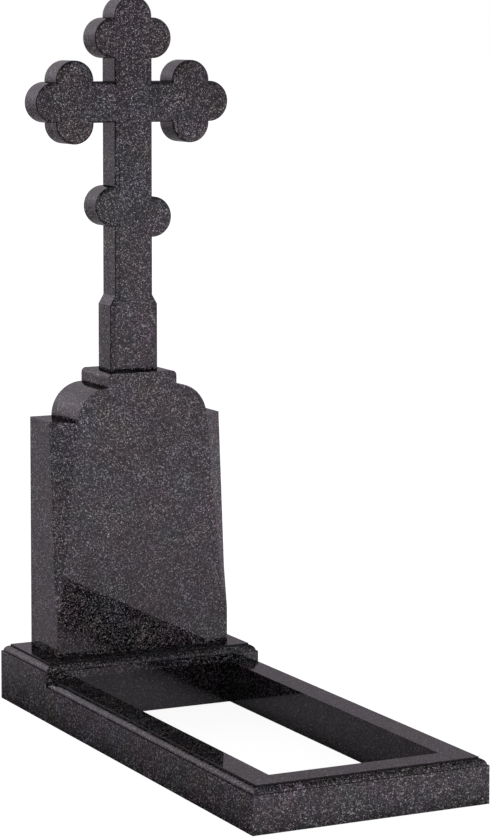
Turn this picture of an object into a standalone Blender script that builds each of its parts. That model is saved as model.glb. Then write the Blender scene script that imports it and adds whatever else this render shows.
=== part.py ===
import math

import bpy
import bmesh
from mathutils import Matrix, Vector

# A granite cross headstone: six polished blocks that stand on one another by their own weight.
# Metres, +Z up, the front faces -Y, and the origin is on the ground in the middle of the footprint.

# Ground plan
PLOT_WIDTH = 0.600
BED_REACH = 1.165
PLINTH_DEPTH = 0.305
JOINT_GAP = 0.0003

# Kerb
KERB_HEIGHT = 0.107
SIDE_RAIL_WIDTH = 0.083
FRONT_RAIL_WIDTH = 0.086
KERB_FILLET = 0.004
KERB_OVOLO = 0.014

# Plinth
PLINTH_HEIGHT = 0.145
PLINTH_FILLET = 0.0045
PLINTH_OVOLO = 0.0145

# Stele
STELE_WIDTH = 0.482
STELE_THICKNESS = 0.176
LEDGE_LEVEL = 0.747
SHOULDER_RADIUS = 0.0855
CAP_WIDTH = 0.192
CAP_LEVEL = 0.868
CAP_CORNER_RADIUS = 0.012

# Tapered stopped chamfers on the stele's two front corners
CHAMFER_WIDTH = 0.0585
CHAMFER_DEPTH = 0.050
CHAMFER_KNEE_LEVEL = 0.342
CHAMFER_KNEE_SHARE = 0.36
CHAMFER_FOOT_LEVEL = 0.236

# Cross
CROSS_THICKNESS = 0.085
BAR_WIDTH = 0.105
LOBE_RADIUS = 0.0522
LOBE_OFFSET = 0.0547
TOP_KNOT_LEVEL = 1.7252
ARM_LEVEL = 1.5612
ARM_KNOT_REACH = 0.1628
LOWER_LEFT_LEVEL = 1.293
LOWER_RIGHT_LEVEL = 1.264
FOOT_WIDTH = 0.133
FLARE_TOP_LEVEL = 1.062
FLARE_FOOT_LEVEL = 1.038
CROSS_FILLET = 0.002
CROSS_OVOLO = 0.008

# Facets
LOBE_STEP = math.radians(9)
MOULDING_STEPS = 8
SHOULDER_STEPS = 18
CAP_CORNER_STEPS = 4
RIM_STEPS = 4

CUTTER_MARGIN = 0.02
MERGE_DISTANCE = 0.00001
SMOOTH_LIMIT = math.radians(25)

FRONT_Y = -(BED_REACH + PLINTH_DEPTH) / 2
BACK_Y = (BED_REACH + PLINTH_DEPTH) / 2
PLINTH_FRONT_Y = BACK_Y - PLINTH_DEPTH
PLINTH_MIDDLE_Y = BACK_Y - PLINTH_DEPTH / 2
HALF_PLOT = PLOT_WIDTH / 2
LEFT = -1
RIGHT = 1


def clear_scene():
    for item in list(bpy.data.objects):
        bpy.data.objects.remove(item, do_unlink=True)


def new_collection(name):
    collection = bpy.data.collections.new(name)
    bpy.context.scene.collection.children.link(collection)
    return collection


def granite(name, color, roughness):
    material = bpy.data.materials.new(name)
    material.use_nodes = True
    shader = material.node_tree.nodes["Principled BSDF"]
    shader.inputs["Base Color"].default_value = (*color, 1)
    shader.inputs["Roughness"].default_value = roughness
    shader.inputs["Metallic"].default_value = 0
    material.diffuse_color = (*color, 1)
    return material


def add_object(name, mesh, collection):
    item = bpy.data.objects.new(name, mesh)
    collection.objects.link(item)
    return item


def add_cutter(name, mesh, cutters):
    item = add_object(name, mesh, cutters)
    item.hide_render = True
    item.display_type = "WIRE"
    return item


def block(name, low, high, collection):
    low = Vector(low)
    high = Vector(high)
    bm = bmesh.new()
    bmesh.ops.create_cube(bm, size=1)
    size = high - low
    bmesh.ops.scale(bm, verts=bm.verts, vec=size)
    mesh = bpy.data.meshes.new(name)
    bm.to_mesh(mesh)
    bm.free()
    item = add_object(name, mesh, collection)
    item.location = (low + high) / 2
    return item


def prism(name, outline, thickness, placing, collection):
    """A flat outline made solid: a filled 2D curve, extruded and turned into a mesh."""
    curve = bpy.data.curves.new(name, "CURVE")
    curve.dimensions = "2D"
    curve.fill_mode = "BOTH"
    curve.extrude = thickness / 2
    spline = curve.splines.new("POLY")
    spline.points.add(len(outline) - 1)
    for point, (x, y) in zip(spline.points, outline):
        point.co = (x, y, 0, 1)
    spline.use_cyclic_u = True
    drawn = bpy.data.objects.new(name + "_outline", curve)
    bpy.context.scene.collection.objects.link(drawn)
    bpy.context.view_layer.update()
    evaluated = drawn.evaluated_get(bpy.context.evaluated_depsgraph_get())
    mesh = bpy.data.meshes.new_from_object(evaluated)
    mesh.name = name
    bm = bmesh.new()
    bm.from_mesh(mesh)
    bmesh.ops.remove_doubles(bm, verts=bm.verts, dist=MERGE_DISTANCE)
    bmesh.ops.dissolve_limit(bm, angle_limit=math.radians(0.5), verts=bm.verts, edges=bm.edges)
    bmesh.ops.recalc_face_normals(bm, faces=bm.faces)
    bm.to_mesh(mesh)
    bm.free()
    bpy.data.objects.remove(drawn, do_unlink=True)
    bpy.data.curves.remove(curve)
    item = add_object(name, mesh, collection)
    item.matrix_world = placing
    return item


def boolean(item, cutter, operation):
    modifier = item.modifiers.new(operation.lower() + "_" + cutter.name, "BOOLEAN")
    modifier.object = cutter
    modifier.operation = operation
    modifier.solver = "EXACT"


def arc(center_x, center_y, radius, start, end, steps):
    points = []
    for k in range(steps + 1):
        angle = start + (end - start) * k / steps
        points.append((center_x + radius * math.cos(angle), center_y + radius * math.sin(angle)))
    return points


# The moulding of kerb and plinth: a fillet, a convex quarter round and a second fillet
def moulding_cutter_outline(top, fillet, radius):
    width = fillet + radius
    outline = [(-CUTTER_MARGIN, top + CUTTER_MARGIN), (width, top + CUTTER_MARGIN)]
    outline += arc(width, top - width, radius, math.pi / 2, math.pi, MOULDING_STEPS)
    outline.append((-CUTTER_MARGIN, top - width))
    return outline


def cut_moulding(item, start, inward, length, top, fillet, radius, cutters):
    """Cuts the moulding along one top edge, which begins at start and has the stone on its inward side."""
    inward = Vector(inward)
    up = Vector((0, 0, 1))
    along = inward.cross(up)
    placing = Matrix((inward, up, along)).transposed().to_4x4()
    placing.translation = Vector(start) + along * (length / 2)
    outline = moulding_cutter_outline(top, fillet, radius)
    name = f"moulding_{item.name}_{len(item.modifiers)}"
    cutter = prism(name, outline, length + 2 * CUTTER_MARGIN, placing, cutters)
    cutter.hide_render = True
    cutter.display_type = "WIRE"
    boolean(item, cutter, "DIFFERENCE")


# Kerb
def side_rail(name, side, parts, cutters):
    outer = side * HALF_PLOT
    inner = side * (HALF_PLOT - SIDE_RAIL_WIDTH)
    back = PLINTH_FRONT_Y - JOINT_GAP
    rail = block(name, (min(outer, inner), FRONT_Y, 0), (max(outer, inner), back, KERB_HEIGHT), parts)
    edge = (KERB_HEIGHT, KERB_FILLET, KERB_OVOLO, cutters)
    side_start = back if side == LEFT else FRONT_Y
    cut_moulding(rail, (outer, side_start, 0), (-side, 0, 0), back - FRONT_Y, *edge)
    cut_moulding(rail, (min(outer, inner), FRONT_Y, 0), (0, 1, 0), SIDE_RAIL_WIDTH, *edge)
    return rail


def front_rail(name, parts, cutters):
    half = HALF_PLOT - SIDE_RAIL_WIDTH - JOINT_GAP
    rail = block(name, (-half, FRONT_Y, 0), (half, FRONT_Y + FRONT_RAIL_WIDTH, KERB_HEIGHT), parts)
    cut_moulding(rail, (-half, FRONT_Y, 0), (0, 1, 0), 2 * half,
                 KERB_HEIGHT, KERB_FILLET, KERB_OVOLO, cutters)
    return rail


# Plinth
def plinth(name, parts, cutters):
    slab = block(name, (-HALF_PLOT, PLINTH_FRONT_Y, 0), (HALF_PLOT, BACK_Y, PLINTH_HEIGHT), parts)
    edge = (PLINTH_HEIGHT, PLINTH_FILLET, PLINTH_OVOLO, cutters)
    cut_moulding(slab, (-HALF_PLOT, PLINTH_FRONT_Y, 0), (0, 1, 0), PLOT_WIDTH, *edge)
    cut_moulding(slab, (HALF_PLOT, PLINTH_FRONT_Y, 0), (-1, 0, 0), PLINTH_DEPTH, *edge)
    cut_moulding(slab, (HALF_PLOT, BACK_Y, 0), (0, -1, 0), PLOT_WIDTH, *edge)
    cut_moulding(slab, (-HALF_PLOT, BACK_Y, 0), (1, 0, 0), PLINTH_DEPTH, *edge)
    return slab


# Stele
def stele_outline():
    """The front view: ledges, quarter-round shoulders and a flat cap."""
    half = STELE_WIDTH / 2
    cap = CAP_WIDTH / 2
    bottom = PLINTH_HEIGHT + JOINT_GAP
    right = [(half, bottom), (half, LEDGE_LEVEL)]
    right += arc(cap, LEDGE_LEVEL, SHOULDER_RADIUS, 0, math.pi / 2, SHOULDER_STEPS)
    right += arc(cap - CAP_CORNER_RADIUS, CAP_LEVEL - CAP_CORNER_RADIUS, CAP_CORNER_RADIUS,
                 0, math.pi / 2, CAP_CORNER_STEPS)
    left = [(-x, z) for x, z in reversed(right)]
    return right + left


def block_beyond_plane(name, first, second, third, inside, size, cutters):
    """A cube with one face on the plane through three points, on the side away from inside."""
    first = Vector(first)
    normal = (Vector(second) - first).cross(Vector(third) - first).normalized()
    if (Vector(inside) - first).dot(normal) > 0:
        normal = -normal
    bm = bmesh.new()
    bmesh.ops.create_cube(bm, size=size)
    mesh = bpy.data.meshes.new(name)
    bm.to_mesh(mesh)
    bm.free()
    item = add_cutter(name, mesh, cutters)
    placing = normal.to_track_quat("Z", "Y").to_matrix().to_4x4()
    placing.translation = first + normal * (size / 2)
    item.matrix_world = placing
    return item


def cut_chamfer(slab, side, cutters):
    """A corner chamfer that narrows downwards, and below its knee runs out to nothing."""
    corner_x = side * STELE_WIDTH / 2
    corner_y = PLINTH_MIDDLE_Y - STELE_THICKNESS / 2
    drop = (LEDGE_LEVEL - CHAMFER_KNEE_LEVEL) / (1 - CHAMFER_KNEE_SHARE)
    inside = (0, PLINTH_MIDDLE_Y, PLINTH_HEIGHT)
    size = LEDGE_LEVEL * 2

    def plane(name, share, level, end_level):
        on_front = (corner_x - side * CHAMFER_WIDTH * share, corner_y, level)
        on_side = (corner_x, corner_y + CHAMFER_DEPTH * share, level)
        on_edge = (corner_x, corner_y, end_level)
        return block_beyond_plane(name, on_front, on_side, on_edge, inside, size, cutters)

    hand = "left" if side == LEFT else "right"
    taper = plane("chamfer_taper_" + hand, 1, LEDGE_LEVEL, LEDGE_LEVEL - drop)
    run_out = plane("chamfer_run_out_" + hand, CHAMFER_KNEE_SHARE, CHAMFER_KNEE_LEVEL, CHAMFER_FOOT_LEVEL)
    boolean(taper, run_out, "INTERSECT")
    boolean(slab, taper, "DIFFERENCE")


def stele(name, parts, cutters):
    placing = Matrix.Translation((0, PLINTH_MIDDLE_Y, 0)) @ Matrix.Rotation(math.pi / 2, 4, "X")
    slab = prism(name, stele_outline(), STELE_THICKNESS, placing, parts)
    cut_chamfer(slab, LEFT, cutters)
    cut_chamfer(slab, RIGHT, cutters)
    return slab


# Cross
def lobe(center_x, center_z, radius, start, end):
    """An arc round one lobe; the number of facets doesn't depend on the inset."""
    full = math.ceil(abs(end[1] - start[1]) / LOBE_STEP)
    return arc(center_x, center_z, radius, start[0], end[0], full)


def corner_angle(inset, across):
    """The angle on a lobe where it meets a straight bar whose side lies across from its centre."""
    return math.acos((across + inset) / (LOBE_RADIUS - inset))


def knot_angle(inset):
    """Half the angle at a lobe's centre that its neighbour in a trefoil covers."""
    return math.acos(LOBE_OFFSET / math.sqrt(2) / (LOBE_RADIUS - inset))


def cross_side(inset, lower_level):
    """The outline's right half from the foot to the top, drawn in by inset all along."""
    radius = LOBE_RADIUS - inset
    bar = BAR_WIDTH / 2 - inset
    foot = FOOT_WIDTH / 2 - inset
    bottom = CAP_LEVEL + JOINT_GAP
    slope = math.atan2((FOOT_WIDTH - BAR_WIDTH) / 2, FLARE_TOP_LEVEL - FLARE_FOOT_LEVEL)
    shift = inset * math.tan(slope / 2)
    side = corner_angle(inset, LOBE_OFFSET - BAR_WIDTH / 2)
    plain_side = corner_angle(0, LOBE_OFFSET - BAR_WIDTH / 2)
    knot = knot_angle(inset)
    plain_knot = knot_angle(0)
    turn = math.pi / 2
    points = [(foot, bottom), (foot, FLARE_FOOT_LEVEL - shift), (bar, FLARE_TOP_LEVEL - shift)]

    def between(center_x, center_z, start, plain_start, end, plain_end):
        return lobe(center_x, center_z, radius, (start, plain_start), (end, plain_end))

    low = -math.pi + side
    plain_low = -math.pi + plain_side
    eighth = math.pi / 4
    points += between(LOBE_OFFSET, lower_level, low, plain_low, -low, -plain_low)
    points.append((bar, ARM_LEVEL - bar))
    points += between(ARM_KNOT_REACH, ARM_LEVEL - LOBE_OFFSET, low - turn + math.tau, plain_low - turn + math.tau,
                      eighth - knot + math.tau, eighth - plain_knot + math.tau)
    points += between(ARM_KNOT_REACH + LOBE_OFFSET, ARM_LEVEL, -eighth * 3 + knot, -eighth * 3 + plain_knot,
                      eighth * 3 - knot, eighth * 3 - plain_knot)
    points += between(ARM_KNOT_REACH, ARM_LEVEL + LOBE_OFFSET, -eighth + knot, -eighth + plain_knot,
                      turn - low, turn - plain_low)
    points.append((bar, ARM_LEVEL + bar))
    points += between(LOBE_OFFSET, TOP_KNOT_LEVEL, low, plain_low, eighth * 3 - knot, eighth * 3 - plain_knot)
    points += between(0, TOP_KNOT_LEVEL + LOBE_OFFSET, -eighth + knot, -eighth + plain_knot, turn, turn)
    return points


def cross_outline(inset):
    right = cross_side(inset, LOWER_RIGHT_LEVEL)
    left = cross_side(inset, LOWER_LEFT_LEVEL)
    return right + [(-x, z) for x, z in reversed(left[:-1])]


def cross_sections():
    """Pairs of depth behind the front face and inset: the flat back, the sides and the rim moulding."""
    rim = CROSS_FILLET + CROSS_OVOLO
    sections = [(CROSS_THICKNESS, 0), (rim, 0)]
    for inset, depth in arc(rim, rim, CROSS_OVOLO, math.pi, math.pi * 1.5, RIM_STEPS):
        sections.append((depth, inset))
    sections.append((0, rim))
    return sections


def cross(name, parts):
    """A loft through the sections, closed by a flat back and a flat front."""
    front = PLINTH_MIDDLE_Y - CROSS_THICKNESS / 2
    bm = bmesh.new()
    loops = []
    for depth, inset in cross_sections():
        loops.append([bm.verts.new((x, front + depth, z)) for x, z in cross_outline(inset)])
    for near, far in zip(loops, loops[1:]):
        for k in range(len(near)):
            following = (k + 1) % len(near)
            bm.faces.new((near[k], near[following], far[following], far[k]))
    bm.faces.new(loops[0])
    bm.faces.new(loops[-1])
    bmesh.ops.remove_doubles(bm, verts=bm.verts, dist=MERGE_DISTANCE)
    bmesh.ops.recalc_face_normals(bm, faces=bm.faces)
    mesh = bpy.data.meshes.new(name)
    bm.to_mesh(mesh)
    bm.free()
    return add_object(name, mesh, parts)


def finish(item, material):
    item.data.materials.clear()
    item.data.materials.append(material)
    with bpy.context.temp_override(object=item, active_object=item, selected_objects=[item],
                                   selected_editable_objects=[item]):
        bpy.ops.object.shade_smooth()
    item.data.set_sharp_from_angle(angle=SMOOTH_LIMIT)


def main():
    clear_scene()
    parts = new_collection("granite_cross_headstone")
    cutters = new_collection("cutters")
    cutters.hide_render = True
    stone = (0.055, 0.052, 0.056)
    kerb_stone = (0.050, 0.048, 0.052)
    finish(side_rail("kerb_left", LEFT, parts, cutters), granite("kerb_left_granite", kerb_stone, 0.14))
    finish(side_rail("kerb_right", RIGHT, parts, cutters), granite("kerb_right_granite", kerb_stone, 0.14))
    finish(front_rail("kerb_front", parts, cutters), granite("kerb_front_granite", kerb_stone, 0.14))
    finish(plinth("plinth", parts, cutters), granite("plinth_granite", kerb_stone, 0.14))
    finish(stele("stele", parts, cutters), granite("stele_granite", stone, 0.13))
    finish(cross("cross", parts), granite("cross_granite", stone, 0.13))
    monument = bpy.data.objects.new("monument", None)
    parts.objects.link(monument)
    for item in parts.objects:
        if item.type == "MESH":
            item.parent = monument


main()
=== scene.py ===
import math

import bpy
import bmesh
from mathutils import Euler, Matrix, Vector


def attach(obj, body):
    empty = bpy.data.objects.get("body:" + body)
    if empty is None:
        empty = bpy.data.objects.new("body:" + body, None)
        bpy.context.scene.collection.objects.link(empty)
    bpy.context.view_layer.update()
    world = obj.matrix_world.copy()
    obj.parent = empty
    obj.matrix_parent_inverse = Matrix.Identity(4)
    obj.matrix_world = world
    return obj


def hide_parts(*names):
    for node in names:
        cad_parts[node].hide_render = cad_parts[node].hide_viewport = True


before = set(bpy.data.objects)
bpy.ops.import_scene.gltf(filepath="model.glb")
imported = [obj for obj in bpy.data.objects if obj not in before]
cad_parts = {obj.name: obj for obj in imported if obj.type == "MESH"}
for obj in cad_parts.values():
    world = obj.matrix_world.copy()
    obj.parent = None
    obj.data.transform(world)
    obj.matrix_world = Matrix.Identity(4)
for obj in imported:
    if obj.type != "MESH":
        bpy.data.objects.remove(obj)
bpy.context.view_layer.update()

# Sizes in metres, the same as in the part's source
PLOT_WIDTH = 0.600
BED_REACH = 1.165
PLINTH_DEPTH = 0.305
JOINT_GAP = 0.0003
KERB_HEIGHT = 0.107
SIDE_RAIL_WIDTH = 0.083
FRONT_RAIL_WIDTH = 0.086
KERB_FILLET = 0.004
KERB_OVOLO = 0.014
PLINTH_HEIGHT = 0.145
PLINTH_FILLET = 0.0045
PLINTH_OVOLO = 0.0145
STELE_WIDTH = 0.482
STELE_THICKNESS = 0.176
LEDGE_LEVEL = 0.747
SHOULDER_RADIUS = 0.0855
CAP_WIDTH = 0.192
CAP_LEVEL = 0.868
CAP_CORNER_RADIUS = 0.012
CHAMFER_WIDTH = 0.0585
CHAMFER_DEPTH = 0.050
CHAMFER_KNEE_LEVEL = 0.342
CHAMFER_KNEE_SHARE = 0.36
CHAMFER_FOOT_LEVEL = 0.236
CROSS_THICKNESS = 0.085
BAR_WIDTH = 0.105
LOBE_RADIUS = 0.0522
LOBE_OFFSET = 0.0547
TOP_KNOT_LEVEL = 1.7252
ARM_LEVEL = 1.5612
ARM_KNOT_REACH = 0.1628
LOWER_LEFT_LEVEL = 1.293
LOWER_RIGHT_LEVEL = 1.264
FOOT_WIDTH = 0.133
FLARE_TOP_LEVEL = 1.062
FLARE_FOOT_LEVEL = 1.038
CROSS_FILLET = 0.002
CROSS_OVOLO = 0.008

# Finer facets than the solids have, and the small arrises of sawn and polished stone
LOBE_STEP = math.radians(3)
MOULDING_STEPS = 18
SHOULDER_STEPS = 36
CAP_CORNER_STEPS = 8
RIM_STEPS = 6
BLOCK_ARRIS = 0.0005
CROSS_ARRIS = 0.0004
ARRIS_SEGMENTS = 2
ARRIS_ANGLE = math.radians(15)
CUTTER_MARGIN = 0.02
MERGE_DISTANCE = 0.00001
FLAT_ANGLE = math.radians(0.5)

# The part of a normal on an axis from which a face looks along it, and up to which it looks across it
LOOKS_ALONG = 0.9
LOOKS_ACROSS = 0.1

FRONT_Y = -(BED_REACH + PLINTH_DEPTH) / 2
BACK_Y = (BED_REACH + PLINTH_DEPTH) / 2
PLINTH_FRONT_Y = BACK_Y - PLINTH_DEPTH
PLINTH_MIDDLE_Y = BACK_Y - PLINTH_DEPTH / 2
HALF_PLOT = PLOT_WIDTH / 2
LEFT = -1
RIGHT = 1

# Camera, fitted to the photo's edges
CAMERA_PLACE = (-3.1066, -6.3350, 1.7644)
CAMERA_TURN = math.radians(26.467)
CAMERA_TILT = math.radians(4.451)
FOCAL_PIXELS = 2935.07
FRAME_HEIGHT = 837
AXIS_ROW = 251
SENSOR = 36
VIEW_REACH = 500

# Light that falls on the stone, by the upward part of its direction, from three sides of the room
LIGHT_FRONT = [
    (-1.0, 0.25),
    (-0.35, 0.62),
    (-0.1, 1.12),
    (0.0, 1.22),
    (0.06, 0.75),
    (0.15, 0.3),
    (0.35, 0.2),
    (1.0, 0.24),
]
LIGHT_BACK_LEFT = [
    (-1.0, 0.12),
    (-0.25, 0.42),
    (-0.08, 1.2),
    (0.0, 1.35),
    (0.06, 0.8),
    (0.15, 0.3),
    (0.4, 0.2),
    (1.0, 0.24),
]
LIGHT_BACK_RIGHT = [
    (-1.0, 0.12),
    (-0.1, 0.24),
    (0.05, 0.22),
    (0.3, 0.18),
    (1.0, 0.2),
]

# What the polish mirrors of the room, in the same way
ROOM_FRONT = [
    (-1.0, 0.6),
    (-0.25, 0.78),
    (-0.18, 0.84),
    (-0.14, 0.78),
    (-0.09, 0.81),
    (-0.05, 0.66),
    (-0.02, 0.52),
    (0.05, 0.47),
    (0.35, 0.39),
    (0.6, 0.32),
    (0.76, 0.1),
    (1.0, 0.05),
]
ROOM_BACK_LEFT = [
    (-1.0, 0.20),
    (-0.25, 0.15),
    (-0.21, 0.31),
    (-0.15, 0.33),
    (-0.05, 0.40),
    (0.09, 0.62),
    (0.25, 0.92),
    (0.40, 0.82),
    (0.60, 0.40),
    (1.0, 0.05),
]
ROOM_BACK_RIGHT = [
    (-1.0, 0.20),
    (0.0, 0.24),
    (0.14, 0.20),
    (0.24, 0.25),
    (0.60, 0.25),
    (1.0, 0.05),
]
ROOM_TINT = (1.06, 0.95, 1.065)

# The room's floor as the stone sees it, a glowing card with painted shadow: darker next to the stone,
# behind it and in the bed
CARD_REACH = 1.6
CARD_STEP = 0.02
CARD_LEVEL = -0.001
FRONT_GLOW = [(0.0, 0.32), (0.04, 0.44), (0.10, 0.58), (0.17, 0.74), (1.0, 0.76)]
SIDE_GLOW = [
    (0.0, 0.02),
    (0.02, 0.05),
    (0.05, 0.085),
    (0.13, 0.155),
    (0.25, 0.18),
    (0.5, 0.30),
    (1.0, 0.34),
]
BED_GLOW = [(0.0, 0.01), (0.04, 0.04), (0.10, 0.10), (0.20, 0.14)]
BACK_SHADOW = 0.4
REAR_SHADE = [(0.45, 1.0), (0.65, 0.7), (0.85, 0.8), (1.10, 1.0)]
BED_CLEARNESS = [(0.0, 0.1), (0.04, 0.35), (0.12, 0.6)]
EDGE_CLEARNESS = [(0.0, 1.0), (0.7, 0.0)]
FRONT_BLEND = 0.08

# The lid over the bed, which fades between two places along the plot
LID_BACK_Y = 0.30
LID_FRONT_Y = 0.0
LID_GLOW_BACK = 0.03
LID_GLOW_FRONT = 0.10

# The floor that the camera sees
FLOOR_RADIUS = 80
FLOOR_SEGMENTS = 96
FLOOR_COLOR = (0.79, 0.88, 0.79, 1)
FLOOR_ROUGHNESS = 0.9
FLOOR_GLOW = 0.92

# Where the room's sides blend into each other, by the direction's parts to the right and to the back
LEFT_TO_RIGHT = (-0.42, 0.45)
BACK_TO_FRONT = (0.87, -0.87)

# The black copies of the pieces that the polish mirrors lie this far under the surface
STAND_IN_INSET = 0.0001

scene = bpy.context.scene


# Working objects
def link(name, mesh):
    item = bpy.data.objects.new(name, mesh)
    scene.collection.objects.link(item)
    return item


def block(name, low, high):
    low = Vector(low)
    high = Vector(high)
    bm = bmesh.new()
    bmesh.ops.create_cube(bm, size=1)
    bmesh.ops.scale(bm, verts=bm.verts, vec=high - low)
    bmesh.ops.translate(bm, verts=bm.verts, vec=(low + high) / 2)
    mesh = bpy.data.meshes.new(name)
    bm.to_mesh(mesh)
    bm.free()
    return link(name, mesh)


def prism(name, outline, thickness, placing):
    """A flat outline made solid."""
    bm = bmesh.new()
    face = bm.faces.new([bm.verts.new((x, y, -thickness / 2)) for x, y in outline])
    grown = bmesh.ops.extrude_face_region(bm, geom=[face])
    top = [v for v in grown["geom"] if isinstance(v, bmesh.types.BMVert)]
    bmesh.ops.translate(bm, verts=top, vec=(0, 0, thickness))
    bmesh.ops.recalc_face_normals(bm, faces=bm.faces)
    bmesh.ops.transform(bm, matrix=placing, verts=bm.verts)
    mesh = bpy.data.meshes.new(name)
    bm.to_mesh(mesh)
    bm.free()
    return link(name, mesh)


def boolean(item, cutter, operation):
    modifier = item.modifiers.new(operation.lower(), "BOOLEAN")
    modifier.object = cutter
    modifier.operation = operation
    modifier.solver = "EXACT"


def settle(item, cutters):
    """Replaces an object's mesh with its evaluated one, cleaned, and removes the cutters."""
    bpy.context.view_layer.update()
    evaluated = item.evaluated_get(bpy.context.evaluated_depsgraph_get())
    mesh = bpy.data.meshes.new_from_object(evaluated)
    item.modifiers.clear()
    item.data = mesh
    for cutter in cutters:
        bpy.data.objects.remove(cutter, do_unlink=True)
    bm = bmesh.new()
    bm.from_mesh(mesh)
    bmesh.ops.remove_doubles(bm, verts=bm.verts, dist=MERGE_DISTANCE)
    bmesh.ops.dissolve_limit(bm, angle_limit=FLAT_ANGLE, verts=bm.verts, edges=bm.edges)
    bmesh.ops.recalc_face_normals(bm, faces=bm.faces)
    bm.to_mesh(mesh)
    bm.free()


def ease_edges(item, width):
    """Rounds the outer edges a little and keeps the flats' normals flat, so that they mirror cleanly."""
    item.data.shade_smooth()
    bm = bmesh.new()
    bm.from_mesh(item.data)
    rounding = bm.edges.layers.float.new("bevel_weight_edge")
    for edge in bm.edges:
        if edge.calc_face_angle(0) > ARRIS_ANGLE:
            edge[rounding] = float(edge.is_convex)
            edge.smooth = edge.is_convex
    bm.to_mesh(item.data)
    bm.free()
    modifier = item.modifiers.new("arris", "BEVEL")
    modifier.width = width
    modifier.segments = ARRIS_SEGMENTS
    modifier.limit_method = "WEIGHT"
    modifier.miter_outer = "MITER_ARC"
    modifier.harden_normals = True
    bpy.context.view_layer.update()
    evaluated = item.evaluated_get(bpy.context.evaluated_depsgraph_get())
    mesh = bpy.data.meshes.new_from_object(evaluated)
    item.modifiers.clear()
    item.data = mesh


def arc(center_x, center_y, radius, start, end, steps):
    points = []
    for k in range(steps + 1):
        angle = start + (end - start) * k / steps
        points.append((center_x + radius * math.cos(angle), center_y + radius * math.sin(angle)))
    return points


def mark_shaded_steps(item, is_shaded_step):
    """Marks a moulding's narrow steps, which are left rougher than the polish and painted near black as
    painted shade in the moulding's creases.
    """
    step_shade = item.data.attributes.new("step_shade", "FLOAT", "FACE")
    step_shade.data.foreach_set("value", [float(is_shaded_step(face)) for face in item.data.polygons])


# Kerb and plinth
# The kerb's and plinth's moulding steps that take painted shade
def edge_shaded_step(face, top, fillet, radius):
    on_step = abs(face.center.z - top + fillet + radius) < MERGE_DISTANCE
    outer_step = on_step and face.normal.z > LOOKS_ALONG
    inner_step = top - fillet < face.center.z < top and abs(face.normal.z) < LOOKS_ACROSS
    return outer_step or inner_step


def cut_moulding(item, start, inward, length, top, fillet, radius):
    """Cuts fillet, convex quarter round and fillet along one top edge."""
    width = fillet + radius
    outline = [(-CUTTER_MARGIN, top + CUTTER_MARGIN), (width, top + CUTTER_MARGIN)]
    outline += arc(width, top - width, radius, math.pi / 2, math.pi, MOULDING_STEPS)
    outline.append((-CUTTER_MARGIN, top - width))
    inward = Vector(inward)
    up = Vector((0, 0, 1))
    along = inward.cross(up)
    placing = Matrix((inward, up, along)).transposed().to_4x4()
    placing.translation = Vector(start) + along * (length / 2)
    cutter = prism("cutter", outline, length + 2 * CUTTER_MARGIN, placing)
    boolean(item, cutter, "DIFFERENCE")
    return cutter


def side_rail(name, side):
    outer = side * HALF_PLOT
    inner = side * (HALF_PLOT - SIDE_RAIL_WIDTH)
    back = PLINTH_FRONT_Y - JOINT_GAP
    rail = block(name, (min(outer, inner), FRONT_Y, 0), (max(outer, inner), back, KERB_HEIGHT))
    edge = (KERB_HEIGHT, KERB_FILLET, KERB_OVOLO)
    side_start = back if side == LEFT else FRONT_Y
    cutters = [
        cut_moulding(rail, (outer, side_start, 0), (-side, 0, 0), back - FRONT_Y, *edge),
        cut_moulding(rail, (min(outer, inner), FRONT_Y, 0), (0, 1, 0), SIDE_RAIL_WIDTH, *edge),
    ]
    settle(rail, cutters)
    ease_edges(rail, BLOCK_ARRIS)
    mark_shaded_steps(rail, lambda face: edge_shaded_step(face, *edge))
    return rail


def front_rail(name):
    half = HALF_PLOT - SIDE_RAIL_WIDTH - JOINT_GAP
    rail = block(name, (-half, FRONT_Y, 0), (half, FRONT_Y + FRONT_RAIL_WIDTH, KERB_HEIGHT))
    edge = (KERB_HEIGHT, KERB_FILLET, KERB_OVOLO)
    settle(rail, [cut_moulding(rail, (-half, FRONT_Y, 0), (0, 1, 0), 2 * half, *edge)])
    ease_edges(rail, BLOCK_ARRIS)
    mark_shaded_steps(rail, lambda face: edge_shaded_step(face, *edge))
    return rail


def plinth(name):
    slab = block(name, (-HALF_PLOT, PLINTH_FRONT_Y, 0), (HALF_PLOT, BACK_Y, PLINTH_HEIGHT))
    edge = (PLINTH_HEIGHT, PLINTH_FILLET, PLINTH_OVOLO)
    cutters = [
        cut_moulding(slab, (-HALF_PLOT, PLINTH_FRONT_Y, 0), (0, 1, 0), PLOT_WIDTH, *edge),
        cut_moulding(slab, (HALF_PLOT, PLINTH_FRONT_Y, 0), (-1, 0, 0), PLINTH_DEPTH, *edge),
        cut_moulding(slab, (HALF_PLOT, BACK_Y, 0), (0, -1, 0), PLOT_WIDTH, *edge),
        cut_moulding(slab, (-HALF_PLOT, BACK_Y, 0), (1, 0, 0), PLINTH_DEPTH, *edge),
    ]
    settle(slab, cutters)
    ease_edges(slab, BLOCK_ARRIS)
    mark_shaded_steps(slab, lambda face: edge_shaded_step(face, *edge))
    return slab


# Stele
def stele_outline():
    half = STELE_WIDTH / 2
    cap = CAP_WIDTH / 2
    right = [(half, PLINTH_HEIGHT + JOINT_GAP), (half, LEDGE_LEVEL)]
    right += arc(cap, LEDGE_LEVEL, SHOULDER_RADIUS, 0, math.pi / 2, SHOULDER_STEPS)
    right += arc(cap - CAP_CORNER_RADIUS, CAP_LEVEL - CAP_CORNER_RADIUS, CAP_CORNER_RADIUS,
                 0, math.pi / 2, CAP_CORNER_STEPS)
    return right + [(-x, z) for x, z in reversed(right)]


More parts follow.
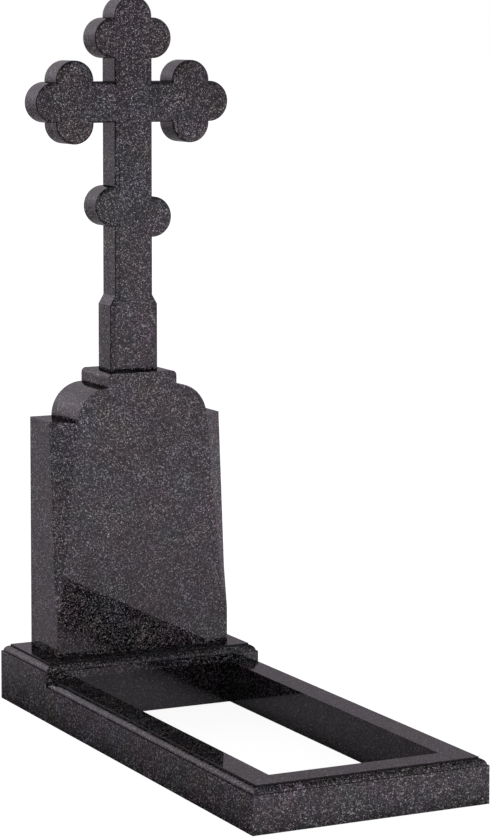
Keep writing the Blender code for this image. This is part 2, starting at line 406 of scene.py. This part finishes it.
def block_beyond_plane(first, second, third, inside, size):
    """A cube with one face on the plane through three points, on the side away from inside."""
    first = Vector(first)
    normal = (Vector(second) - first).cross(Vector(third) - first).normalized()
    if (Vector(inside) - first).dot(normal) > 0:
        normal = -normal
    bm = bmesh.new()
    bmesh.ops.create_cube(bm, size=size)
    mesh = bpy.data.meshes.new("cutter")
    bm.to_mesh(mesh)
    bm.free()
    item = link("cutter", mesh)
    placing = normal.to_track_quat("Z", "Y").to_matrix().to_4x4()
    placing.translation = first + normal * (size / 2)
    item.matrix_world = placing
    return item


def cut_chamfer(slab, side):
    """A corner chamfer that narrows downwards, and below its knee runs out to nothing."""
    corner_x = side * STELE_WIDTH / 2
    corner_y = PLINTH_MIDDLE_Y - STELE_THICKNESS / 2
    drop = (LEDGE_LEVEL - CHAMFER_KNEE_LEVEL) / (1 - CHAMFER_KNEE_SHARE)
    inside = (0, PLINTH_MIDDLE_Y, PLINTH_HEIGHT)

    def plane(share, level, end_level):
        on_front = (corner_x - side * CHAMFER_WIDTH * share, corner_y, level)
        on_side = (corner_x, corner_y + CHAMFER_DEPTH * share, level)
        on_edge = (corner_x, corner_y, end_level)
        return block_beyond_plane(on_front, on_side, on_edge, inside, LEDGE_LEVEL * 2)

    taper = plane(1, LEDGE_LEVEL, LEDGE_LEVEL - drop)
    run_out = plane(CHAMFER_KNEE_SHARE, CHAMFER_KNEE_LEVEL, CHAMFER_FOOT_LEVEL)
    boolean(taper, run_out, "INTERSECT")
    boolean(slab, taper, "DIFFERENCE")
    return [taper, run_out]


def stele(name):
    placing = Matrix.Translation((0, PLINTH_MIDDLE_Y, 0)) @ Matrix.Rotation(math.pi / 2, 4, "X")
    slab = prism(name, stele_outline(), STELE_THICKNESS, placing)
    settle(slab, cut_chamfer(slab, LEFT) + cut_chamfer(slab, RIGHT))
    ease_edges(slab, BLOCK_ARRIS)
    return slab


# Cross
def corner_angle(inset, across):
    return math.acos((across + inset) / (LOBE_RADIUS - inset))


def knot_angle(inset):
    return math.acos(LOBE_OFFSET / math.sqrt(2) / (LOBE_RADIUS - inset))


def cross_side(inset, lower_level):
    """The outline's right half from the foot to the top, drawn in by inset all along."""
    radius = LOBE_RADIUS - inset
    bar = BAR_WIDTH / 2 - inset
    foot = FOOT_WIDTH / 2 - inset
    slope = math.atan2((FOOT_WIDTH - BAR_WIDTH) / 2, FLARE_TOP_LEVEL - FLARE_FOOT_LEVEL)
    shift = inset * math.tan(slope / 2)
    turn = math.pi / 2
    eighth = math.pi / 4
    low = -math.pi + corner_angle(inset, LOBE_OFFSET - BAR_WIDTH / 2)
    plain_low = -math.pi + corner_angle(0, LOBE_OFFSET - BAR_WIDTH / 2)
    knot = knot_angle(inset)
    plain_knot = knot_angle(0)
    points = [
        (foot, CAP_LEVEL + JOINT_GAP),
        (foot, FLARE_FOOT_LEVEL - shift),
        (bar, FLARE_TOP_LEVEL - shift),
    ]

    def lobe(center_x, center_z, start, plain_start, end, plain_end):
        steps = math.ceil(abs(plain_end - plain_start) / LOBE_STEP)
        return arc(center_x, center_z, radius, start, end, steps)

    points += lobe(LOBE_OFFSET, lower_level, low, plain_low, -low, -plain_low)
    points.append((bar, ARM_LEVEL - bar))
    points += lobe(ARM_KNOT_REACH, ARM_LEVEL - LOBE_OFFSET,
                   low - turn + math.tau, plain_low - turn + math.tau,
                   eighth - knot + math.tau, eighth - plain_knot + math.tau)
    points += lobe(ARM_KNOT_REACH + LOBE_OFFSET, ARM_LEVEL,
                   -eighth * 3 + knot, -eighth * 3 + plain_knot,
                   eighth * 3 - knot, eighth * 3 - plain_knot)
    points += lobe(ARM_KNOT_REACH, ARM_LEVEL + LOBE_OFFSET,
                   -eighth + knot, -eighth + plain_knot,
                   turn - low, turn - plain_low)
    points.append((bar, ARM_LEVEL + bar))
    points += lobe(LOBE_OFFSET, TOP_KNOT_LEVEL, low, plain_low, eighth * 3 - knot, eighth * 3 - plain_knot)
    points += lobe(0, TOP_KNOT_LEVEL + LOBE_OFFSET, -eighth + knot, -eighth + plain_knot, turn, turn)
    return points


def cross_outline(inset):
    right = cross_side(inset, LOWER_RIGHT_LEVEL)
    left = cross_side(inset, LOWER_LEFT_LEVEL)
    return right + [(-x, z) for x, z in reversed(left[:-1])]


# The cross's rim moulding steps that take painted shade
def rim_shaded_step(face, front, rim):
    depth = face.center.y - front
    outer_step = abs(depth - rim) < MERGE_DISTANCE and face.normal.y < -LOOKS_ALONG
    inner_step = 0 < depth < CROSS_FILLET and abs(face.normal.y) < LOOKS_ACROSS
    return outer_step or inner_step


def cross(name):
    """A loft from the flat back over the sides and the rim moulding to the flat front."""
    rim = CROSS_FILLET + CROSS_OVOLO
    sections = [(CROSS_THICKNESS, 0), (rim, 0)]
    for inset, depth in arc(rim, rim, CROSS_OVOLO, math.pi, math.pi * 1.5, RIM_STEPS):
        sections.append((depth, inset))
    sections.append((0, rim))
    front = PLINTH_MIDDLE_Y - CROSS_THICKNESS / 2
    bm = bmesh.new()
    loops = []
    for depth, inset in sections:
        loops.append([bm.verts.new((x, front + depth, z)) for x, z in cross_outline(inset)])
    for near, far in zip(loops, loops[1:]):
        for k in range(len(near)):
            following = (k + 1) % len(near)
            bm.faces.new((near[k], near[following], far[following], far[k]))
    bm.faces.new(loops[0])
    bm.faces.new(loops[-1])
    bmesh.ops.remove_doubles(bm, verts=bm.verts, dist=MERGE_DISTANCE)
    bmesh.ops.recalc_face_normals(bm, faces=bm.faces)
    mesh = bpy.data.meshes.new(name)
    bm.to_mesh(mesh)
    bm.free()
    item = link(name, mesh)
    ease_edges(item, CROSS_ARRIS)
    mark_shaded_steps(item, lambda face: rim_shaded_step(face, front, rim))
    return item


# Granite, its scales in crystals or waves to the metre
LARGE_CRYSTALS = 330
SMALL_CRYSTALS = 620
CLOUD_SCALE = 16
CLOUD_SWAY = 0.35
HUE_SCALE = 11
HUE_SWAY = (0.85, 0.55, 0.85)
HUE_BASE = (0.585, 0.725, 0.585)
RIPPLE_SCALE = 420
BUMP_STRENGTH = 0.004
BUMP_DISTANCE = 0.0002
STONE_IOR = 1.54
POLISH = 0.012
DULL_GRAIN = 0.30
# Near black painted shade and a rougher finish for a moulding's narrow steps
STEP_SHADE_PAINT = 0.002
STEP_ROUGHNESS = 0.6
# The cross is painted darker as painted shade, against the stronger light that falls on it than on the
# stele
CROSS_PAINTED_SHADE = 0.87
MIRRORED_SHADE = 0.004


def grey(value):
    return (value, value, value, 1)


def ramp(nodes, stops, interpolation="LINEAR"):
    node = nodes.new("ShaderNodeValToRGB")
    elements = node.color_ramp.elements
    node.color_ramp.interpolation = interpolation
    elements[0].position, elements[0].color = stops[0]
    elements[1].position, elements[1].color = stops[-1]
    for position, color in stops[1:-1]:
        element = elements.new(position)
        element.color = color
    return node


def math_node(tree, operation, first, second, third=0.5):
    node = tree.nodes.new("ShaderNodeMath")
    node.operation = operation
    for socket, value in zip(node.inputs, (first, second, third)):
        if isinstance(value, (int, float)):
            socket.default_value = value
        else:
            tree.links.new(value, socket)
    return node.outputs[0]


def mix_color(tree, blend, factor, first, second):
    node = tree.nodes.new("ShaderNodeMix")
    node.data_type = "RGBA"
    node.blend_type = blend
    for name, value in (("Factor", factor), ("A", first), ("B", second)):
        sockets = [s for s in node.inputs if s.name == name and s.enabled]
        if isinstance(value, (int, float, tuple)):
            sockets[0].default_value = value
        else:
            tree.links.new(value, sockets[0])
    return [s for s in node.outputs if s.enabled][0]


def noise(tree, vector, scale, detail=2.0, roughness=0.5):
    node = tree.nodes.new("ShaderNodeTexNoise")
    node.inputs["Scale"].default_value = scale
    node.inputs["Detail"].default_value = detail
    node.inputs["Roughness"].default_value = roughness
    tree.links.new(vector, node.inputs["Vector"])
    return node


def crystals(tree, vector, scale):
    node = tree.nodes.new("ShaderNodeTexVoronoi")
    node.feature = "F1"
    node.inputs["Scale"].default_value = scale
    tree.links.new(vector, node.inputs["Vector"])
    split = tree.nodes.new("ShaderNodeSeparateColor")
    tree.links.new(node.outputs["Color"], split.inputs[0])
    return split


def granite(name, offset, shade_paint):
    """Polished dark granite: black ground, grey and pink crystals, and clouds of more or fewer of them,
    with painted shade on a moulding's narrow steps and, where a piece asks for it, all over.
    """
    material = bpy.data.materials.new(name)
    material.use_nodes = True
    tree = material.node_tree
    nodes = tree.nodes
    links = tree.links
    shader = nodes["Principled BSDF"]
    place = nodes.new("ShaderNodeTexCoord")
    mapping = nodes.new("ShaderNodeMapping")
    mapping.inputs["Location"].default_value = offset
    links.new(place.outputs["Object"], mapping.inputs["Vector"])
    vector = mapping.outputs["Vector"]

    clouds = noise(tree, vector, CLOUD_SCALE, 3, 0.55)
    hues = noise(tree, vector, HUE_SCALE, 2, 0.5)
    large = crystals(tree, vector, LARGE_CRYSTALS)
    small = crystals(tree, vector, SMALL_CRYSTALS)

    centred = math_node(tree, "SUBTRACT", clouds.outputs[0], 0.5)
    sway = math_node(tree, "MULTIPLY", centred, CLOUD_SWAY)
    shifted = math_node(tree, "ADD", large.outputs[0], sway)
    body = ramp(nodes, [
        (0.0, (0.0005, 0.0005, 0.0005, 1)),
        (0.40, (0.0020, 0.0020, 0.0020, 1)),
        (0.60, (0.0300, 0.0300, 0.0300, 1)),
        (0.82, (0.0850, 0.0850, 0.0840, 1)),
        (0.94, (0.1900, 0.1900, 0.1880, 1)),
        (1.0, (0.4000, 0.4000, 0.3950, 1)),
    ])
    links.new(shifted, body.inputs[0])
    specks = ramp(nodes, [
        (0.0, (0.0, 0.0, 0.0, 1)),
        (0.87, (0.002, 0.002, 0.002, 1)),
        (0.94, (0.09, 0.09, 0.09, 1)),
        (0.98, (0.50, 0.50, 0.50, 1)),
        (1.0, (1.0, 1.0, 1.0, 1)),
    ])
    links.new(small.outputs[1], specks.inputs[0])
    tint = nodes.new("ShaderNodeVectorMath")
    tint.operation = "MULTIPLY_ADD"
    tint.inputs[1].default_value = HUE_SWAY
    tint.inputs[2].default_value = HUE_BASE
    links.new(hues.outputs["Color"], tint.inputs[0])
    color = mix_color(tree, "MULTIPLY", 1.0, body.outputs[0], tint.outputs[0])
    color = mix_color(tree, "ADD", 1.0, color, specks.outputs[0])
    # Painted shade: a whole piece can be painted darker
    color = mix_color(tree, "MULTIPLY", 1.0, color, grey(shade_paint))
    # Painted shade: the marked moulding steps are painted near black
    step_shade = nodes.new("ShaderNodeAttribute")
    step_shade.attribute_name = "step_shade"
    color = mix_color(tree, "MIX", step_shade.outputs["Fac"], color, grey(STEP_SHADE_PAINT))
    links.new(color, shader.inputs["Base Color"])

    dull = ramp(nodes, [
        (0.0, grey(POLISH)),
        (0.80, grey(POLISH)),
        (0.84, grey(DULL_GRAIN)),
        (1.0, grey(DULL_GRAIN)),
    ])
    links.new(small.outputs[0], dull.inputs[0])
    roughness = mix_color(tree, "MIX", step_shade.outputs["Fac"], dull.outputs[0], grey(STEP_ROUGHNESS))
    links.new(roughness, shader.inputs["Roughness"])
    shader.inputs["IOR"].default_value = STONE_IOR
    bump = nodes.new("ShaderNodeBump")
    bump.inputs["Strength"].default_value = BUMP_STRENGTH
    bump.inputs["Distance"].default_value = BUMP_DISTANCE
    ripple = noise(tree, vector, RIPPLE_SCALE, 2, 0.6)
    links.new(ripple.outputs[0], bump.inputs["Height"])
    links.new(bump.outputs["Normal"], shader.inputs["Normal"])
    return material


# Pieces
black = bpy.data.materials.new("black")
black.use_nodes = True
black_shader = black.node_tree.nodes["Principled BSDF"]
black_shader.inputs["Base Color"].default_value = grey(MIRRORED_SHADE)
black_shader.inputs["Roughness"].default_value = 1.0
black_shader.inputs["Specular IOR Level"].default_value = 0.0


def stand_in(piece):
    """Only reflections see this copy, and they don't see the piece: the stone mirrors itself as black."""
    mesh = piece.data.copy()
    normals = [vertex.normal.copy() for vertex in mesh.vertices]
    for vertex, normal in zip(mesh.vertices, normals):
        vertex.co -= normal * STAND_IN_INSET
    mesh.materials.clear()
    mesh.materials.append(black)
    copy = link(piece.name + "_mirrored", mesh)
    copy.visible_camera = False
    copy.visible_diffuse = False
    copy.visible_shadow = False
    piece.visible_glossy = False


def dress(piece, node, offset, shade_paint=1.0):
    piece.data.materials.clear()
    piece.data.materials.append(granite("polished_" + node, offset, shade_paint))
    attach(piece, "root")
    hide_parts(node)
    stand_in(piece)


dress(side_rail("kerb_left_stone", LEFT), "kerb_left", (3.1, 0.4, 7.7))
dress(side_rail("kerb_right_stone", RIGHT), "kerb_right", (9.4, 2.2, 1.3))
dress(front_rail("kerb_front_stone"), "kerb_front", (5.9, 8.1, 4.6))
dress(plinth("plinth_stone"), "plinth", (1.7, 6.3, 2.9))
dress(stele("stele_stone"), "stele", (7.2, 3.8, 9.1))
# The cross's granite takes painted shade all over
dress(cross("cross_stone"), "cross", (2.6, 5.5, 8.4), CROSS_PAINTED_SHADE)

# Floor, card and lid
def emission(tree, strength):
    nodes = tree.nodes
    shader = nodes.new("ShaderNodeEmission")
    shader.inputs["Color"].default_value = ROOM_TINT + (1,)
    tree.links.new(strength, shader.inputs["Strength"])
    return shader


def interpolate(value, stops):
    if value <= stops[0][0]:
        return stops[0][1]
    for (low, first), (high, second) in zip(stops, stops[1:]):
        if value <= high:
            return first + (second - first) * (value - low) / (high - low)
    return stops[-1][1]


def bed_inset(x, y):
    return min(HALF_PLOT - SIDE_RAIL_WIDTH - abs(x), PLINTH_FRONT_Y - y, y - FRONT_Y - FRONT_RAIL_WIDTH)


def card_clearness(x, y):
    if bed_inset(x, y) <= 0:
        return interpolate(CARD_REACH - max(abs(x), abs(y)), EDGE_CLEARNESS)
    return interpolate(HALF_PLOT - SIDE_RAIL_WIDTH - abs(x), BED_CLEARNESS)


def card_glow(x, y):
    inset = bed_inset(x, y)
    if inset > 0:
        return interpolate(inset, BED_GLOW)
    beyond = max(FRONT_Y - y, (y - BACK_Y) * BACK_SHADOW, 0)
    outside = math.hypot(max(abs(x) - HALF_PLOT, 0), beyond)
    share = min(max(max(FRONT_Y - y, x - HALF_PLOT) / FRONT_BLEND + 0.5, 0), 1)
    beside = interpolate(outside, SIDE_GLOW) * interpolate(y, REAR_SHADE)
    return beside * (1 - share) + interpolate(outside, FRONT_GLOW) * share


# The camera sees a plain pale floor that takes a faint shadow
bm = bmesh.new()
bmesh.ops.create_circle(bm, cap_ends=True, segments=FLOOR_SEGMENTS, radius=FLOOR_RADIUS)
floor_mesh = bpy.data.meshes.new("floor")
bm.to_mesh(floor_mesh)
bm.free()
floor = link("floor", floor_mesh)
floor_material = bpy.data.materials.new("pale_floor")
floor_material.use_nodes = True
floor_shader = floor_material.node_tree.nodes["Principled BSDF"]
floor_shader.inputs["Base Color"].default_value = FLOOR_COLOR
floor_shader.inputs["Roughness"].default_value = FLOOR_ROUGHNESS
floor_shader.inputs["Specular IOR Level"].default_value = 0.0
floor_shader.inputs["Emission Color"].default_value = grey(1)
floor_shader.inputs["Emission Strength"].default_value = FLOOR_GLOW
floor.data.materials.append(floor_material)
floor.visible_diffuse = False
floor.visible_glossy = False
floor.visible_shadow = False

# The stone sees this glowing card, with its painted shadow, in the floor's place
steps = round(2 * CARD_REACH / CARD_STEP)
bm = bmesh.new()
bmesh.ops.create_grid(bm, x_segments=steps, y_segments=steps, size=CARD_REACH)
bmesh.ops.translate(bm, verts=bm.verts, vec=(0, 0, CARD_LEVEL))
card_mesh = bpy.data.meshes.new("card")
bm.to_mesh(card_mesh)
bm.free()
glow = card_mesh.attributes.new("glow", "FLOAT", "POINT")
glow.data.foreach_set("value", [card_glow(v.co.x, v.co.y) for v in card_mesh.vertices])
clear = card_mesh.attributes.new("clear", "FLOAT", "POINT")
clear.data.foreach_set("value", [card_clearness(v.co.x, v.co.y) for v in card_mesh.vertices])
card = link("card", card_mesh)
card_material = bpy.data.materials.new("card")
card_material.use_nodes = True
card_tree = card_material.node_tree
own_glow = card_tree.nodes.new("ShaderNodeAttribute")
own_glow.attribute_name = "glow"
clearness = card_tree.nodes.new("ShaderNodeAttribute")
clearness.attribute_name = "clear"
mirrored = card_tree.nodes.new("ShaderNodeLightPath").outputs["Is Glossy Ray"]
mixed = card_tree.nodes.new("ShaderNodeMixShader")
card_tree.links.new(math_node(card_tree, "MULTIPLY", clearness.outputs["Fac"], mirrored), mixed.inputs[0])
card_tree.links.new(emission(card_tree, own_glow.outputs["Fac"]).outputs[0], mixed.inputs[1])
card_tree.links.new(card_tree.nodes.new("ShaderNodeBsdfTransparent").outputs[0], mixed.inputs[2])
card_tree.links.new(mixed.outputs[0], card_tree.nodes["Material Output"].inputs["Surface"])
card.data.materials.append(card_material)
card.visible_camera = False

# Only scattered light sees this lid, which keeps the bed's inner faces dark
half_bed = HALF_PLOT - SIDE_RAIL_WIDTH - JOINT_GAP
lid = block("lid", (-half_bed, FRONT_Y + FRONT_RAIL_WIDTH + JOINT_GAP, KERB_HEIGHT - 2 * BLOCK_ARRIS),
            (half_bed, PLINTH_FRONT_Y - JOINT_GAP, KERB_HEIGHT - BLOCK_ARRIS))
lid_material = bpy.data.materials.new("lid")
lid_material.use_nodes = True
lid_tree = lid_material.node_tree
lid_place = lid_tree.nodes.new("ShaderNodeSeparateXYZ")
lid_tree.links.new(lid_tree.nodes.new("ShaderNodeNewGeometry").outputs["Position"], lid_place.inputs[0])
lid_glow = lid_tree.nodes.new("ShaderNodeMapRange")
lid_glow.inputs["From Min"].default_value = LID_BACK_Y
lid_glow.inputs["From Max"].default_value = LID_FRONT_Y
lid_glow.inputs["To Min"].default_value = LID_GLOW_BACK
lid_glow.inputs["To Max"].default_value = LID_GLOW_FRONT
lid_tree.links.new(lid_place.outputs[1], lid_glow.inputs["Value"])
lid_shader = emission(lid_tree, lid_glow.outputs[0])
lid_tree.links.new(lid_shader.outputs[0], lid_tree.nodes["Material Output"].inputs["Surface"])
lid.data.materials.append(lid_material)
lid.visible_camera = False
lid.visible_glossy = False
lid.visible_shadow = False


# Soft studio light from a room that is brightest low in front of the stone
def elevation_ramp(tree, height, stops):
    """A ramp over the upward part of a direction, from -1 straight down to 1 straight up."""
    node = ramp(tree.nodes, [((level + 1) / 2, grey(value)) for level, value in stops])
    tree.links.new(math_node(tree, "MULTIPLY_ADD", height, 0.5), node.inputs[0])
    return node.outputs[0]


def span(tree, value, low, high):
    node = tree.nodes.new("ShaderNodeMapRange")
    node.inputs["From Min"].default_value = low
    node.inputs["From Max"].default_value = high
    tree.links.new(value, node.inputs["Value"])
    return node.outputs[0]


world = bpy.data.worlds.new("studio")
scene.world = world
world.use_nodes = True
tree = world.node_tree
background = tree.nodes["Background"]
split = tree.nodes.new("ShaderNodeSeparateXYZ")
tree.links.new(tree.nodes.new("ShaderNodeTexCoord").outputs["Generated"], split.inputs[0])
across, along, height = split.outputs
to_right = span(tree, across, *LEFT_TO_RIGHT)
to_front = span(tree, along, *BACK_TO_FRONT)


def three_sides(back_left, back_right, front):
    back = mix_color(tree, "MIX", to_right, elevation_ramp(tree, height, back_left),
                     elevation_ramp(tree, height, back_right))
    return mix_color(tree, "MIX", to_front, back, elevation_ramp(tree, height, front))


path = tree.nodes.new("ShaderNodeLightPath")
light = mix_color(tree, "MIX", path.outputs["Is Glossy Ray"],
                  three_sides(LIGHT_BACK_LEFT, LIGHT_BACK_RIGHT, LIGHT_FRONT),
                  three_sides(ROOM_BACK_LEFT, ROOM_BACK_RIGHT, ROOM_FRONT))
light = mix_color(tree, "MULTIPLY", 1.0, light, ROOM_TINT + (1,))
light = mix_color(tree, "MIX", path.outputs["Is Camera Ray"], light, grey(1.0))
tree.links.new(light, background.inputs["Color"])

# Camera
lens = bpy.data.cameras.new("camera")
lens.sensor_width = SENSOR
lens.lens = FOCAL_PIXELS / FRAME_HEIGHT * SENSOR
lens.shift_y = (AXIS_ROW - FRAME_HEIGHT / 2) / FRAME_HEIGHT
lens.clip_end = VIEW_REACH
camera = bpy.data.objects.new("camera", lens)
scene.collection.objects.link(camera)
camera.location = CAMERA_PLACE
camera.rotation_euler = Euler((math.pi / 2 - CAMERA_TILT, 0, -CAMERA_TURN))
scene.camera = camera

scene.view_settings.view_transform = "Standard"
